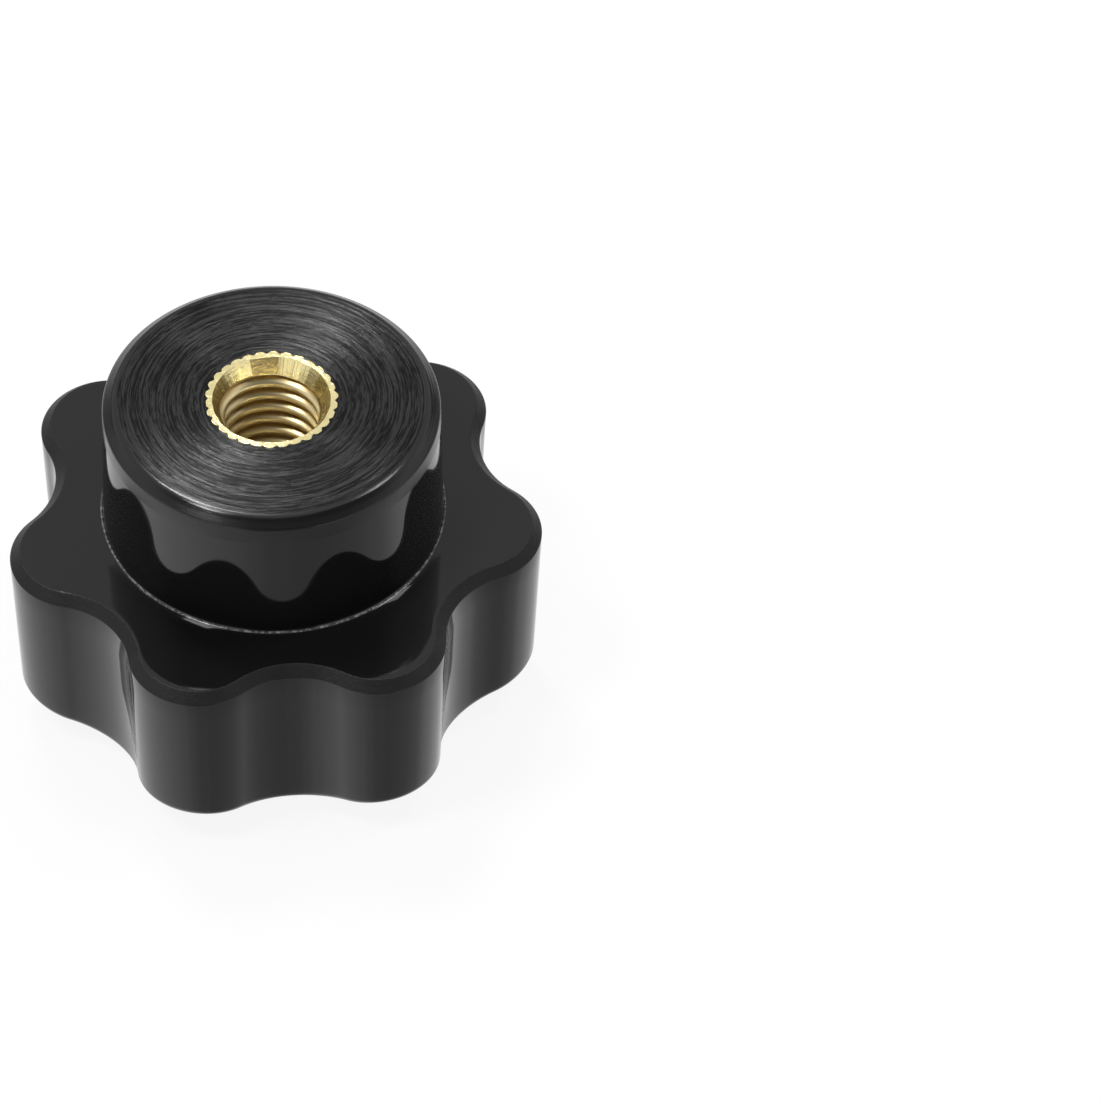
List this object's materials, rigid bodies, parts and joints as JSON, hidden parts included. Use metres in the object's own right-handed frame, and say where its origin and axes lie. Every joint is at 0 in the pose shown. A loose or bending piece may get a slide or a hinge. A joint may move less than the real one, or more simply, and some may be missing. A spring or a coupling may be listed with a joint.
{
  "type": "star knob",
  "caption": "Lobed black phenolic star knob with a round hub, a core hole in the crown and a moulded-in brass bush, for turning a screw by hand.",
  "frame": {"origin": "centre of the hub's turned end face, where the knob seats on the work", "axes": "+Z along the thread axis, out of the hub; +Y through a lobe, -Y through a valley. The knob lies on its crown."},
  "size_m": [0.0392, 0.0385, 0.028],
  "materials": {
    "phenolic": "black phenolic, glossy as moulded, turned dull on the hub's end face",
    "brass": "bright turned brass, knurled outside"
  },
  "bodies": {
    "root": {"knob_body": "phenolic", "threaded_insert": "brass"}
  },
  "joints": []
}
